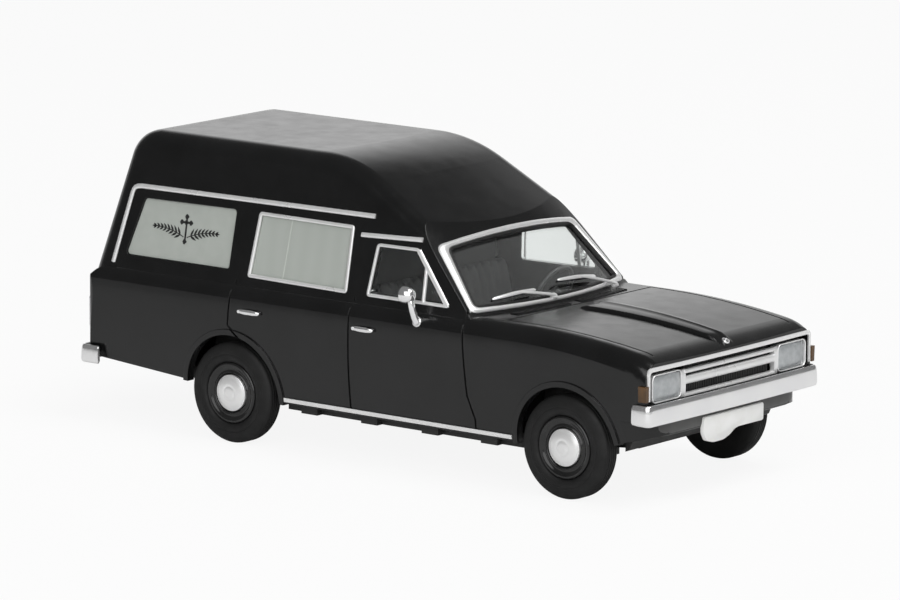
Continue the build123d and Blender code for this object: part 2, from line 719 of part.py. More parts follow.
# Wheelsets: a steel axle with a tyre, a rim and a hubcap at each end
seat_y = outer_y - 0.12 * tyre_width
lip_y = outer_y - 0.05 * tyre_width
dish_y = seat_y - 0.1 * tyre_width
crown_y = seat_y + 0.19 * tyre_width
shoulder_radius = tyre_radius - 0.35 * (tyre_radius - rim_radius)
tread_inset = 0.2 * tyre_width
bevel_y = crown_y - 0.08 * tyre_width
for axle_name, axle_x in axles:
    middle = (axle_x, 0, tyre_radius)
    spin = Axis(middle, (0, 1, 0))
    with BuildPart() as axle:
        with BuildSketch(Plane(origin=middle, x_dir=(1, 0, 0), z_dir=(0, 1, 0))):
            Circle(axle_radius)
        extrude(amount=seat_y, both=True)
    axle.part.label = f"{axle_name}_axle"
    export_step(axle.part, f"parts/{axle_name}_axle.step")
    for side_name, side in sides:
        section = Plane(origin=middle, x_dir=(0, side, 0), z_dir=(side, 0, 0))
        with BuildPart() as tyre:
            with BuildSketch(section):
                with BuildLine():
                    Polyline((inner_y, rim_radius), (outer_y, rim_radius), (outer_y, shoulder_radius),
                             (outer_y - tread_inset, tyre_radius), (inner_y + tread_inset, tyre_radius),
                             (inner_y, shoulder_radius), close=True)
                make_face()
            revolve(axis=spin)
        tyre.part.label = f"tyre_{axle_name}_{side_name}"
        export_step(tyre.part, f"parts/tyre_{axle_name}_{side_name}.step")
        with BuildPart() as rim:
            with BuildSketch(section):
                with BuildLine():
                    Polyline((inner_y, axle_radius), (seat_y, axle_radius), (seat_y, hubcap_radius),
                             (dish_y, hubcap_radius + 0.1 * rim_radius), (lip_y, 0.85 * rim_radius),
                             (lip_y, rim_radius), (inner_y, rim_radius), close=True)
                make_face()
            revolve(axis=spin)
        rim.part.label = f"rim_{axle_name}_{side_name}"
        export_step(rim.part, f"parts/rim_{axle_name}_{side_name}.step")
        with BuildPart() as hubcap:
            with BuildSketch(section):
                with BuildLine():
                    Polyline((seat_y, 0), (seat_y, hubcap_radius), (bevel_y, 0.85 * hubcap_radius),
                             (crown_y, 0.5 * hubcap_radius), (crown_y, 0), close=True)
                make_face()
            revolve(axis=spin)
        hubcap.part.label = f"hubcap_{axle_name}_{side_name}"
        export_step(hubcap.part, f"parts/hubcap_{axle_name}_{side_name}.step")
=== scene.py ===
from math import cos, hypot, pi, radians, sin, sqrt

import bmesh
import bpy
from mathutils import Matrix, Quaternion, Vector


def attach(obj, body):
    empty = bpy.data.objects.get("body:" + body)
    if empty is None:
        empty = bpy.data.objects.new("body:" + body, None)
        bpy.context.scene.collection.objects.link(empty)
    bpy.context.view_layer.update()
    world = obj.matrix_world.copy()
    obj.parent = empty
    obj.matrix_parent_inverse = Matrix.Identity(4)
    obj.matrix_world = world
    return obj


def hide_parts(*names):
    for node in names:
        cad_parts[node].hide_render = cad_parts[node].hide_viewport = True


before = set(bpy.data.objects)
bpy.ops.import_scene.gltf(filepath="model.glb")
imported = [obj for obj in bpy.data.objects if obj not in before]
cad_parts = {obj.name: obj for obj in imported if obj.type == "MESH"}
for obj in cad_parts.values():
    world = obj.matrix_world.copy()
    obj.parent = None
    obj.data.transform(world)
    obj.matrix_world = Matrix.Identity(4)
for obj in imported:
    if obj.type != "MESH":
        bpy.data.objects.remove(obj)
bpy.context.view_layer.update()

# The table the model is photographed on: a white sheet that fills the view, a lamp box overhead, a broader
# one by the camera, and a room that is white behind the model and dim on this side.
mm = 0.001
scene = bpy.context.scene
scene.view_settings.view_transform = "Standard"


def new_finish(name):
    """A new node material and its nodes, links and main shader."""
    finish = bpy.data.materials.new(name)
    finish.use_nodes = True
    nodes, links = finish.node_tree.nodes, finish.node_tree.links
    return finish, nodes, links, nodes["Principled BSDF"]


table_half = 3.0
table_mesh = bpy.data.meshes.new("table_sheet")
table_mesh.from_pydata([(-table_half, -table_half, 0), (table_half, -table_half, 0),
                        (table_half, table_half, 0), (-table_half, table_half, 0)], [], [(0, 1, 2, 3)])
sheet_white, nodes, links, shader = new_finish("table_sheet_white")
shader.inputs["Base Color"].default_value = (0.82, 0.82, 0.82, 1)
shader.inputs["Roughness"].default_value = 0.9
path = nodes.new("ShaderNodeLightPath")
seen = nodes.new("ShaderNodeMath")
seen.operation = "MAXIMUM"
links.new(path.outputs["Is Camera Ray"], seen.inputs[0])
links.new(path.outputs["Is Transmission Ray"], seen.inputs[1])
share = nodes.new("ShaderNodeMath")
share.operation = "MULTIPLY"
share.inputs[1].default_value = 0.90
links.new(seen.outputs[0], share.inputs[0])
bare_white = nodes.new("ShaderNodeEmission")
bare_white.inputs["Strength"].default_value = 1.0
mixed = nodes.new("ShaderNodeMixShader")
links.new(share.outputs[0], mixed.inputs[0])
links.new(shader.outputs[0], mixed.inputs[1])
links.new(bare_white.outputs[0], mixed.inputs[2])
links.new(mixed.outputs[0], nodes["Material Output"].inputs["Surface"])
table_sheet = bpy.data.objects.new("table_sheet", table_mesh)
table_mesh.materials.append(sheet_white)
scene.collection.objects.link(table_sheet)

room = bpy.data.worlds.new("studio_room")
scene.world = room
room.use_nodes = True
nodes, links = room.node_tree.nodes, room.node_tree.links
nodes.clear()
way = nodes.new("ShaderNodeTexCoord")
behind = nodes.new("ShaderNodeVectorMath")
behind.operation = "DOT_PRODUCT"
behind.inputs[1].default_value = (-0.60, 0.79, -0.35)
links.new(way.outputs["Generated"], behind.inputs[0])
wall = nodes.new("ShaderNodeMapRange")
wall.interpolation_type = "SMOOTHSTEP"
wall.inputs["From Min"].default_value = 0.50
wall.inputs["From Max"].default_value = 0.84
wall.inputs["To Min"].default_value = 0.18
wall.inputs["To Max"].default_value = 1.25
links.new(behind.outputs["Value"], wall.inputs["Value"])
path = nodes.new("ShaderNodeLightPath")
seen = nodes.new("ShaderNodeMath")
seen.operation = "MAXIMUM"
links.new(path.outputs["Is Camera Ray"], seen.inputs[0])
links.new(path.outputs["Is Transmission Ray"], seen.inputs[1])
level = nodes.new("ShaderNodeMath")
level.operation = "MAXIMUM"
links.new(seen.outputs[0], level.inputs[0])
links.new(wall.outputs["Result"], level.inputs[1])
backdrop = nodes.new("ShaderNodeBackground")
links.new(level.outputs[0], backdrop.inputs["Strength"])
room_out = nodes.new("ShaderNodeOutputWorld")
links.new(backdrop.outputs[0], room_out.inputs["Surface"])

aim = Vector((0.00065, 0.0, 0.010816))
lamp_table = [  # name, place, width, depth, watts
    ("lamp_box_above", (0.32, 0.06, 0.70), 0.40, 0.36, 3.0),
    ("lamp_box_front", (0.38, -0.60, 0.42), 1.00, 0.80, 5.1),
]
for name, place, width, depth, watts in lamp_table:
    lamp = bpy.data.lights.new(name, "AREA")
    lamp.shape = "RECTANGLE"
    lamp.size, lamp.size_y = width, depth
    lamp.energy = watts
    holder = bpy.data.objects.new(name, lamp)
    scene.collection.objects.link(holder)
    holder.location = place
    holder.rotation_mode = "QUATERNION"
    holder.rotation_quaternion = (aim - Vector(place)).to_track_quat("-Z", "Y")

# The camera stands off the model's right front corner, a little above it, with a long lens.
camera = bpy.data.cameras.new("camera")
camera.lens = 250.4
camera.sensor_width = 36.0
camera.clip_start = 0.01
camera.clip_end = 20.0
stand = bpy.data.objects.new("camera", camera)
scene.collection.objects.link(stand)
stand.location = (0.27884, -0.35582, 0.09387)
stand.rotation_mode = "QUATERNION"
level_view = (aim - Vector(stand.location)).to_track_quat("-Z", "Y")
stand.rotation_quaternion = level_view @ Quaternion((0, 0, 1), radians(0.41))
scene.camera = stand

# The body shell is one moulding in black polystyrene with the gloss of its polished mould. Its thin walls
# are very slightly wavy, and handling has left fine scuffs that only break up the gloss.
def dress(finish, *names):
    """The finish on pieces that come as they are from the solid model."""
    for name in names:
        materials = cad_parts[name].data.materials
        materials.clear()
        materials.append(finish)


def speckle(nodes, links, scale, detail, low, high):
    """A noise in the model's own space between two values."""
    place = nodes.new("ShaderNodeTexCoord")
    noise = nodes.new("ShaderNodeTexNoise")
    noise.inputs["Scale"].default_value = scale
    noise.inputs["Detail"].default_value = detail
    links.new(place.outputs["Object"], noise.inputs["Vector"])
    span = nodes.new("ShaderNodeMapRange")
    span.inputs["From Min"].default_value = 0.3
    span.inputs["From Max"].default_value = 0.7
    span.inputs["To Min"].default_value = low
    span.inputs["To Max"].default_value = high
    links.new(noise.outputs["Fac"], span.inputs["Value"])
    return span.outputs["Result"]


def tint(nodes, links, shader, value, dark, light):
    """The colour between two tones, by a value from 0 to 1."""
    ramp = nodes.new("ShaderNodeValToRGB")
    ramp.color_ramp.elements[0].color = (*dark, 1)
    ramp.color_ramp.elements[1].color = (*light, 1)
    links.new(value, ramp.inputs["Fac"])
    links.new(ramp.outputs["Color"], shader.inputs["Base Color"])


def gloss(nodes, links, shader, scale, detail, low, high):
    """The roughness, uneven between two values."""
    links.new(speckle(nodes, links, scale, detail, low, high), shader.inputs["Roughness"])


def relief(nodes, links, shader, value, strength, depth, edge=0.0):
    """Fine bumps, over edges that are rounded where a small radius is given."""
    dent = nodes.new("ShaderNodeBump")
    dent.inputs["Strength"].default_value = strength
    dent.inputs["Distance"].default_value = depth * mm
    links.new(value, dent.inputs["Height"])
    if edge:
        edge_round = nodes.new("ShaderNodeBevel")
        edge_round.samples = 4
        edge_round.inputs["Radius"].default_value = edge * mm
        links.new(edge_round.outputs["Normal"], dent.inputs["Normal"])
    links.new(dent.outputs["Normal"], shader.inputs["Normal"])


body_black, nodes, links, shader = new_finish("body_black")
shader.inputs["IOR"].default_value = 1.47
scuffs = speckle(nodes, links, 260.0, 4.0, 0.0, 1.0)
tint(nodes, links, shader, scuffs, (0.0045, 0.0046, 0.0046), (0.0075, 0.0076, 0.0078))
gloss(nodes, links, shader, 700.0, 5.0, 0.15, 0.23)
waves = speckle(nodes, links, 380.0, 1.0, 0.0, 1.0)
relief(nodes, links, shader, waves, 0.10, 0.05, 0.08)
dress(body_black, "body_shell")

# Below the windscreen the shell has the heater's air intake: a row of short ribs across the scuttle, part of
# the same black moulding.
def skin(rings, loop=False):
    """Points and faces of a surface over closed rings of equal count, capped unless it is a loop."""
    count = len(rings[0])
    points = [p for ring in rings for p in ring]
    faces = []
    for k in range(len(rings) if loop else len(rings) - 1):
        a, b = k * count, (k + 1) % len(rings) * count
        for i in range(count):
            j = (i + 1) % count
            faces.append((a + i, a + j, b + j, b + i))
    if not loop:
        faces.append(tuple(reversed(range(count))))
        faces.append(tuple(range(len(points) - count, len(points))))
    return points, faces


def piece_mesh(name, shapes, crease=40.0):
    """One mesh from shapes in millimetres, smooth but for edges sharper than the crease."""
    points, faces = [], []
    for shape_points, shape_faces in shapes:
        start = len(points)
        points.extend(Vector(p) * mm for p in shape_points)
        faces.extend(tuple(start + i for i in face) for face in shape_faces)
    mesh = bpy.data.meshes.new(name)
    mesh.from_pydata(points, [], faces)
    mesh.validate()
    work = bmesh.new()
    work.from_mesh(mesh)
    bmesh.ops.recalc_face_normals(work, faces=work.faces)
    work.to_mesh(mesh)
    work.free()
    mesh.shade_smooth()
    mesh.set_sharp_from_angle(angle=radians(crease))
    return mesh


def put_piece(name, shapes, body, finish, replaced=(), crease=40.0):
    """A finished piece in the model's frame that moves with one of its bodies."""
    piece = bpy.data.objects.new(name, piece_mesh(name, shapes, crease))
    scene.collection.objects.link(piece)
    piece.data.materials.append(finish)
    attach(piece, body)
    if replaced:
        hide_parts(*replaced)
    return piece


def slab(outline, origin, u_way, v_way, thick, edge):
    """A flat piece from an outline in u and v, raised along their cross product, with its top edge eased."""
    u_way, v_way, origin = Vector(u_way), Vector(v_way), Vector(origin)
    up_way = u_way.cross(v_way).normalized()
    middle_u = sum(u for u, v in outline) / len(outline)
    middle_v = sum(v for u, v in outline) / len(outline)

    def ring(lift, inset):
        row = []
        for u, v in outline:
            far = hypot(u - middle_u, v - middle_v)
            near = max(far - inset, 0.0) / far
            row.append(origin + u_way * (middle_u + (u - middle_u) * near)
                       + v_way * (middle_v + (v - middle_v) * near) + up_way * lift)
        return row

    return skin([ring(0, 0), ring(thick - edge, 0), ring(thick - 0.3 * edge, 0.3 * edge), ring(thick, edge)])


def round_box(width, depth, radius, steps=5):
    """A rectangle's outline with round corners, about its middle."""
    row = []
    for k, (a, b) in enumerate([(1, 1), (-1, 1), (-1, -1), (1, -1)]):
        for i in range(steps + 1):
            turn = (k + i / steps) * pi / 2
            row.append((a * (width / 2 - radius) + radius * cos(turn),
                        b * (depth / 2 - radius) + radius * sin(turn)))
    return row


def lathe(profile, origin, axis, steps, loop=False):
    """A turned piece: rows of distance along the axis and radius."""
    axis = Vector(axis).normalized()
    side_way = axis.orthogonal().normalized()
    up_way = axis.cross(side_way)
    rings = []
    for offset, radius in profile:
        ring = []
        for k in range(steps):
            turn = 2 * pi * k / steps
            ring.append(Vector(origin) + axis * offset
                        + (side_way * cos(turn) + up_way * sin(turn)) * radius)
        rings.append(ring)
    return skin(rings, loop)


scuttle_x, belt_z = 11.95, 12.0
intake_ribs = []
for k in range(-17, 18):
    if abs(k) < 2:
        continue
    y = 0.38 * k
    back = 0.35 * (y / 6.5) ** 2
    intake_ribs.append(slab(round_box(0.8, 0.15, 0.07, 3), (scuttle_x - back, y, belt_z - 0.01),
                            (1, 0, 0), (0, 1, 0), 0.09, 0.04))
put_piece("scuttle_ribs", intake_ribs, "model", body_black)

# Along the middle of the bonnet the shell has a low rib that narrows forward and fades out at the nose. It is
# part of the black moulding, with a step down on each side.
def shell_top(x, y):
    """The height of the body shell's top at a place."""
    above = Vector((x, y, 40.0)) * mm
    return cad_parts["body_shell"].ray_cast(above, Vector((0, 0, -1)))[1].z / mm


rib_start, rib_end, rib_edge = 13.7, 25.7, 1.6
rib_rows = [  # place across, height over the bonnet
    (-1.62, -0.05), (-1.54, 0.12), (-1.44, 0.22), (-1.3, 0.242), (-0.3, 0.25), (0.35, 0.255), (0.45, 0.285),
    (0.6, 0.29), (0.85, 0.285), (1.05, 0.24), (1.35, -0.05)]
rib_rings = []
for k in range(41):
    along = k / 40
    x = rib_start + (rib_end - rib_start) * along
    slim = 1.0 - 0.42 * along
    rise = min(1.0, 0.15 + (x - rib_start) / 0.45) * min(1.0, max(0.0, (rib_end - x) / 0.95)) ** 1.4
    foot_z = shell_top(x, rib_edge)
    rib_rings.append([(x, y * slim, foot_z + (lift * rise if lift > 0 else lift)) for y, lift in rib_rows])
put_piece("bonnet_spine", [skin(rib_rings)], "model", body_black, crease=25.0)

# The button on the nose of the bonnet is a small round dome with a rim, in bright plating, pressed into the
# shell.
chrome, nodes, links, shader = new_finish("chrome_plate")
shader.inputs["Metallic"].default_value = 0.92
streaks = speckle(nodes, links, 420.0, 2.0, 0.0, 1.0)
tint(nodes, links, shader, streaks, (0.90, 0.90, 0.91), (0.95, 0.95, 0.95))
gloss(nodes, links, shader, 300.0, 2.0, 0.13, 0.2)
relief(nodes, links, shader, streaks, 0.03, 0.01)
button_place, button_way = (25.5, 0, 10.85), Vector((0.35, 0, 0.936))
button = lathe([(-0.08, 0.31), (0.03, 0.31), (0.07, 0.28), (0.08, 0.22), (0.05, 0.19), (0.05, 0.17),
                (0.09, 0.12), (0.11, 0.02)], button_place, button_way, 32)
put_piece("bonnet_button", [button], "model", chrome)

# The windscreen and the front door panes are thin mouldings in clear polystyrene, pressed in from inside.
# A line of black rubber shows between the windscreen and its frame.
clear_pane, nodes, links, shader = new_finish("clear_pane")
shader.inputs["Base Color"].default_value = (0.93, 0.95, 0.94, 1)
shader.inputs["IOR"].default_value = 1.3
shader.inputs["Transmission Weight"].default_value = 1.0
gloss(nodes, links, shader, 500.0, 2.0, 0.0, 0.03)
dress(clear_pane, "door_glass_left", "door_glass_right")

screen_pane, nodes, links, shader = new_finish("screen_pane")
shader.inputs["Base Color"].default_value = (0.95, 0.97, 0.96, 1)
shader.inputs["IOR"].default_value = 1.55
shader.inputs["Transmission Weight"].default_value = 1.0
gloss(nodes, links, shader, 500.0, 2.0, 0.01, 0.05)
dress(screen_pane, "windscreen")

rubber_black, nodes, links, shader = new_finish("rubber_black")
grain = speckle(nodes, links, 2500.0, 3.0, 0.0, 1.0)
tint(nodes, links, shader, grain, (0.008, 0.008, 0.008), (0.014, 0.014, 0.014))
gloss(nodes, links, shader, 1200.0, 3.0, 0.45, 0.6)
relief(nodes, links, shader, grain, 0.15, 0.02, 0.02)

screen_foot = Vector((10.95, 0, 12.4))
screen_up = Vector((-1, 0, 1)).normalized()
screen_out = Vector((1, 0, 1)).normalized()
screen_bow = 40.4


def on_screen(y, rise, lift):
    """A point over the bowed windscreen: across, up its slope and out of it."""
    sag = screen_bow - sqrt(screen_bow ** 2 - y ** 2)
    return screen_foot + Vector((0, y, 0)) + screen_up * rise + screen_out * (lift - sag)


def eased(corners, radius, steps=5):
    """A closed outline with each corner bent round over about a radius."""
    row = []
    for k, corner in enumerate(corners):
        here = Vector(corner)
        back, ahead = Vector(corners[k - 1]) - here, Vector(corners[(k + 1) % len(corners)]) - here
        start = here + back.normalized() * min(radius, 0.45 * back.length)
        end = here + ahead.normalized() * min(radius, 0.45 * ahead.length)
        for i in range(steps + 1):
            t = i / steps
            row.append(tuple(start * (1 - t) ** 2 + here * 2 * t * (1 - t) + end * t ** 2))
    return row


def inset(outline, amount):
    """A closed outline moved inwards."""
    row = []
    for k, (u, v) in enumerate(outline):
        (a, b), (c, d) = outline[k - 1], outline[(k + 1) % len(outline)]
        way = Vector((c - a, d - b)).normalized()
        row.append((u - way.y * amount, v + way.x * amount))
    return row


def screen_outline(foot_half, foot_rise, foot_dip, foot_ys, head_ys, head_rise, corner):
    """An outline round the windscreen with a hollow foot, through places across its foot and head."""
    head = [(y, head_rise) for y in (*head_ys, 0, *[-y for y in reversed(head_ys)])]
    foot = []
    for y in (*[-y for y in foot_ys], 0, *reversed(foot_ys)):
        foot.append((y, foot_dip + (foot_rise - foot_dip) * (y / foot_half) ** 2))
    return eased([(foot_half, foot_rise), *head, (-foot_half, foot_rise), *foot], corner)


seal_edge = screen_outline(8.6, 1.018, 0.0, (6.5, 4.3, 2.1), (7.37, 5.2, 2.6), 6.173, 0.55)
seal_rings = []
for move, lift in [(0.02, -0.30), (0.02, 0.04), (0.10, 0.08), (0.22, 0.04), (0.28, -0.10), (0.28, -0.30)]:
    seal_rings.append([on_screen(u, v, lift) for u, v in inset(seal_edge, move)])
put_piece("windscreen_seal", [skin(seal_rings, loop=True)], "model", rubber_black)

# The rear panes are clear mouldings printed grey-green on the back, so that they look frosted. The middle ones
# show a curtain in soft folds with a pale seam, the rear ones a palm branch on each side of a cross. The
# lighter and darker bands over the curtain's folds are painted shade.
frosted_pane, nodes, links, shader = new_finish("frosted_pane")
mottle = speckle(nodes, links, 900.0, 3.0, 0.0, 1.0)
tint(nodes, links, shader, mottle, (0.405, 0.432, 0.40), (0.44, 0.467, 0.435))
gloss(nodes, links, shader, 600.0, 3.0, 0.38, 0.5)
relief(nodes, links, shader, mottle, 0.08, 0.02, 0.04)
shader.inputs["Coat Weight"].default_value = 0.3
shader.inputs["Coat Roughness"].default_value = 0.08
dress(frosted_pane, "quarter_glass_left", "quarter_glass_right", "tailgate_glass")

curtain_pane, nodes, links, shader = new_finish("curtain_pane")
place = nodes.new("ShaderNodeTexCoord")
fold_relief_and_shade = nodes.new("ShaderNodeTexWave")
fold_relief_and_shade.bands_direction = "X"
fold_relief_and_shade.inputs["Scale"].default_value = 210.0
fold_relief_and_shade.inputs["Distortion"].default_value = 1.2
fold_relief_and_shade.inputs["Detail"].default_value = 1.0
links.new(place.outputs["Object"], fold_relief_and_shade.inputs["Vector"])
# Painted shade: the folds' wave makes the pane lighter and darker in bands, as light falls on the folds.
tint(nodes, links, shader, fold_relief_and_shade.outputs["Fac"], (0.412, 0.44, 0.408), (0.428, 0.456, 0.424))
gloss(nodes, links, shader, 600.0, 3.0, 0.38, 0.5)
relief(nodes, links, shader, fold_relief_and_shade.outputs["Fac"], 0.05, 0.04, 0.04)
shader.inputs["Coat Weight"].default_value = 0.3
shader.inputs["Coat Roughness"].default_value = 0.08
dress(curtain_pane, "curtain_glass_left", "curtain_glass_right")

seam_white, nodes, links, shader = new_finish("seam_white")
threads = speckle(nodes, links, 1500.0, 3.0, 0.0, 1.0)
tint(nodes, links, shader, threads, (0.47, 0.50, 0.46), (0.54, 0.57, 0.53))
shader.inputs["Roughness"].default_value = 0.45
wall_foot_y, wall_slope = 9.42, 0.18
pane_depth = 0.1525


def on_pane(x, z, lift, side):
    """A point over a side pane, out of its face."""
    return Vector((x, side * (wall_foot_y - (z - belt_z) * wall_slope - pane_depth + lift), z))


def pane_strip(rows, width, lift, side):
    """A thin raised line on a side pane, along a path of x and z."""
    rings = []
    for k, (x, z) in enumerate(rows):
        (a, b), (c, d) = rows[max(k - 1, 0)], rows[min(k + 1, len(rows) - 1)]
        way = Vector((c - a, d - b)).normalized() * width / 2
        section = [(1.0, -0.02), (0.6, lift), (-0.6, lift), (-1.0, -0.02)]
        rings.append([on_pane(x - s * way.y, z + s * way.x, high, side) for s, high in section])
    return skin(rings)


for side_name, side in (("left", 1), ("right", -1)):
    seam_way = [(-7.72, 12.62), (-7.66, 13.5), (-7.58, 14.6), (-7.50, 15.8), (-7.42, 17.0)]
    seam = pane_strip(seam_way, 0.13, 0.03, side)
    put_piece(f"curtain_seam_{side_name}", [seam], "model", seam_white)

print_black, nodes, links, shader = new_finish("print_black")
ink = speckle(nodes, links, 3000.0, 3.0, 0.0, 1.0)
tint(nodes, links, shader, ink, (0.006, 0.006, 0.006), (0.018, 0.018, 0.018))
gloss(nodes, links, shader, 2000.0, 3.0, 0.4, 0.6)
print_x, print_z, print_lift = -17.36, 15.12, 0.02


def leaf(u, v, turn, long, wide, side):
    """One leaf of a palm branch: a slim pointed blade of print."""
    edge = [(0.22, 0.42), (0.5, 0.5), (0.8, 0.24)]
    shape = [(0.0, 0.0), *edge, (1.0, 0.0), *[(a, -b) for a, b in reversed(edge)]]
    rings = []
    for lift in (-0.01, print_lift):
        ring = []
        for a, b in shape:
            p, q = a * long, b * wide
            ring.append(on_pane(print_x + u + p * cos(turn) - q * sin(turn),
                                print_z + v + p * sin(turn) + q * cos(turn), lift, side))
        rings.append(ring)
    return skin(rings)


for side_name, side in (("left", 1), ("right", -1)):
    blades = []
    for hand in (1, -1):
        stem = []
        for k in range(9):
            s = k / 8
            u, v = 0.16 + 2.7 * s, -0.5 + 1.15 * s - 0.6 * s * s
            stem.append((print_x + hand * u, print_z + v))
            if k == 0:
                continue
            rise = radians(22 - 24 * s)
            for spread in (46, -46):
                turn = rise + radians(spread) * (1 - 0.25 * s)
                turn = turn if hand > 0 else pi - turn
                blades.append(leaf(hand * u, v, turn, 0.68 - 0.36 * s, 0.18 - 0.05 * s, side))
        blades.append(leaf(hand * 2.8, 0.05, 0.0 if hand > 0 else pi, 0.46, 0.15, side))
        blades.append(pane_strip(stem, 0.09, print_lift, side))
    arm_z = print_z + 0.58
    upright = [(print_x, print_z - 0.86), (print_x, print_z + 1.0)]
    crossbar = [(print_x - 0.4, arm_z), (print_x + 0.4, arm_z)]
    for beam in (upright, crossbar):
        blades.append(pane_strip(beam, 0.2, 1.5 * print_lift, side))
    for u, v in [(0, 1.0), (-0.44, 0.58), (0.44, 0.58), (0, -0.82), (0, 0.58)]:
        blades.append(leaf(u - 0.2, v, 0.0, 0.4, 0.4, side))
    put_piece(f"palm_and_cross_{side_name}", blades, "model", print_black)

# The bright trim is silver foil stamped on raised ribs of the shell: the windscreen frame, the rails along
# the roof, the window frames, the sill strips and the grille.
silver_foil, nodes, links, shader = new_finish("silver_foil")
shader.inputs["Metallic"].default_value = 0.5
foil = speckle(nodes, links, 380.0, 2.0, 0.0, 1.0)
tint(nodes, links, shader, foil, (0.85, 0.85, 0.85), (0.90, 0.90, 0.895))
gloss(nodes, links, shader, 250.0, 2.0, 0.26, 0.34)
relief(nodes, links, shader, foil, 0.03, 0.01)
dress(silver_foil, "grille_frame", "sill_strip_left", "sill_strip_right")

frame_edge = screen_outline(9.12, 0.70, -0.318, (6.9, 4.6, 2.2), (8.12, 5.6, 2.8), 6.62, 0.6)
frame_dome = [  # share of the way to the seal, height over the screen
    (0, -0.15), (0, 0.03), (0.12, 0.10), (0.3, 0.15), (0.5, 0.17), (0.7, 0.15), (0.88, 0.10), (1, 0.03),
    (1, -0.15)]
frame_rings = []
for share, lift in frame_dome:
    ring = []
    for (a, b), (c, d) in zip(frame_edge, seal_edge):
        ring.append(on_screen(a + (c - a) * share, b + (d - b) * share, lift))
    frame_rings.append(ring)
put_piece("windscreen_surround", [skin(frame_rings, loop=True)], "model", silver_foil,
          ("windscreen_frame",), 60.0)


def bead(rows, width, high, side, loop=False):
    """A half-round moulding on a side wall along a path of x and z, mitred at the corners."""
    rings = []
    for k, here in enumerate(rows):
        here, ways = Vector(here), []
        if loop or k:
            ways.append((here - Vector(rows[k - 1])).normalized())
        if loop or k < len(rows) - 1:
            ways.append((Vector(rows[(k + 1) % len(rows)]) - here).normalized())
        way = sum(ways, Vector((0, 0))).normalized()
        out = Vector((-way.y, way.x)) * width / 2 / way.dot(ways[0])
        ring = [on_pane(here.x + out.x, here.y + out.y, pane_depth - 0.08, side)]
        for turn in range(0, 181, 30):
            spot = here + out * cos(radians(turn))
            ring.append(on_pane(spot.x, spot.y, pane_depth + 0.01 + high * sin(radians(turn)), side))
        ring.append(on_pane(here.x - out.x, here.y - out.y, pane_depth - 0.08, side))
        rings.append(ring)
    return skin(rings, loop)


rail_way = [(-23.87, 12.15), (-23.3, 14.9), (-22.76, 17.4), (-22.68, 17.62), (-22.54, 17.78), (-22.32, 17.88),
            (-21.9, 17.93), (0.3, 18.08)]
door_rail_way = [(-0.75, 16.66), (4.8, 16.88)]
door_post_way, vent_post_way = [(7.7, 12.5), (4.62, 16.08)], [(5.5, 12.5), (5.46, 15.1)]
door_way = eased([(0.37, 12.44), (7.86, 12.46), (4.58, 16.18), (0.84, 16.14)], 0.25, 4)
middle_way = eased([(-10.84, 12.54), (-1.6, 12.42), (-1.56, 17.16), (-10.36, 17.2)], 0.2, 4)
for side_name, side in (("left", 1), ("right", -1)):
    rails = [bead(rail_way, 0.36, 0.12, side), bead(door_rail_way, 0.34, 0.12, side)]
    put_piece(f"roof_rail_bead_{side_name}", rails, "model", silver_foil,
              (f"roof_rail_{side_name}",), 60.0)
    door_beads = [bead(inset(door_way, 0.03), 0.24, 0.09, side, True),
                  bead(door_post_way, 0.4, 0.1, side), bead(vent_post_way, 0.26, 0.1, side)]
    put_piece(f"door_frame_bead_{side_name}", door_beads, "model", silver_foil,
              (f"door_frame_{side_name}",), 60.0)
    middle_bead = bead(inset(middle_way, 0.05), 0.27, 0.08, side, True)
    put_piece(f"middle_frame_bead_{side_name}", [middle_bead], "model", silver_foil,
              (f"middle_frame_{side_name}",), 60.0)

# Two wipers lie at the foot of the windscreen. Each is a separate bright moulding: a pivot, a tapered arm
# and a blade holder with a black rubber lip below it.
def rod(points, sizes, round_steps=10, flat=1.0, up=(0, 0, 1)):
    """A bar along a path with its half width at each point, flattened towards up."""
    rings = []
    for k, here in enumerate(points):
        way = (Vector(points[min(k + 1, len(points) - 1)]) - Vector(points[max(k - 1, 0)])).normalized()
        side_way = way.cross(Vector(up)).normalized()
        lift_way = side_way.cross(way)
        ring = []
        for i in range(round_steps):
            turn = 2 * pi * i / round_steps
            ring.append(Vector(here) + (side_way * cos(turn) + lift_way * flat * sin(turn)) * sizes[k])
        rings.append(ring)
    return skin(rings)


def screen_way(start, end, rows):
    """A path between two places over the windscreen: share of the way and height at each point."""
    way = []
    for share, lift in rows:
        here, rise = (a + (b - a) * share for a, b in zip(start, end))
        way.append(on_screen(here, rise, lift))
    return way


